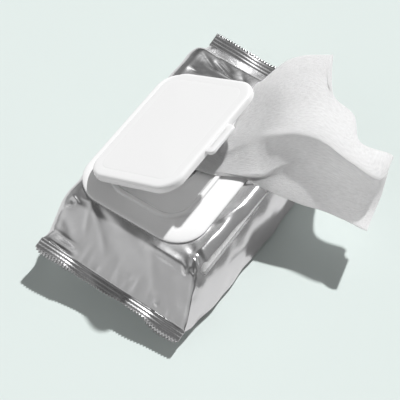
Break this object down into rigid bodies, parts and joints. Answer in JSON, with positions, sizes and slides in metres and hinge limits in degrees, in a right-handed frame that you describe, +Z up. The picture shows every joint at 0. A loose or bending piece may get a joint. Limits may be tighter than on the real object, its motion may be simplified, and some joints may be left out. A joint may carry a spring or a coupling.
{
  "type": "wet wipes pack",
  "caption": "Silver flow-wrapped pouch of wet wipes with a white flip-top dispenser, its hinged lid part open and one wipe drawn out over the front rim.",
  "frame": {"origin": "middle of the pouch's flat underside, on the back seal it rests on", "axes": "+Z up, +X along the pouch from one end seal to the other, +Y to the side that carries the lid's hinge"},
  "size_m": [0.2015, 0.1607, 0.0805],
  "materials": {
    "silver_film": "creased metallised film",
    "white_plastic": "moulded gloss",
    "wipe_cloth": "damp nonwoven"
  },
  "bodies": {
    "pack": {"pouch": "silver_film", "dispenser_base": "white_plastic", "hinge_web": "white_plastic", "pulled_wipe": "wipe_cloth", "folded_wipe_01": "wipe_cloth", "folded_wipe_02": "wipe_cloth", "folded_wipe_03": "wipe_cloth", "folded_wipe_04": "wipe_cloth", "folded_wipe_05": "wipe_cloth", "folded_wipe_06": "wipe_cloth", "folded_wipe_07": "wipe_cloth", "folded_wipe_08": "wipe_cloth", "folded_wipe_09": "wipe_cloth", "folded_wipe_10": "wipe_cloth", "folded_wipe_11": "wipe_cloth", "folded_wipe_12": "wipe_cloth", "folded_wipe_13": "wipe_cloth", "folded_wipe_14": "wipe_cloth", "folded_wipe_15": "wipe_cloth", "folded_wipe_16": "wipe_cloth", "folded_wipe_17": "wipe_cloth", "folded_wipe_18": "wipe_cloth", "folded_wipe_19": "wipe_cloth", "folded_wipe_20": "wipe_cloth", "folded_wipe_21": "wipe_cloth", "folded_wipe_22": "wipe_cloth", "folded_wipe_23": "wipe_cloth", "folded_wipe_24": "wipe_cloth", "folded_wipe_25": "wipe_cloth", "folded_wipe_26": "wipe_cloth", "folded_wipe_27": "wipe_cloth", "folded_wipe_28": "wipe_cloth", "folded_wipe_29": "wipe_cloth"},
    "lid": {"lid": "white_plastic"}
  },
  "joints": [
    {"name": "lid_hinge", "type": "hinge", "parent": "pack", "child": "lid", "pos_m": [-0.0048, 0.0453, 0.0415], "axis": [-1, 0, 0], "range_deg": [-24.5, 82], "deforming": ["hinge_web"]}
  ]
}
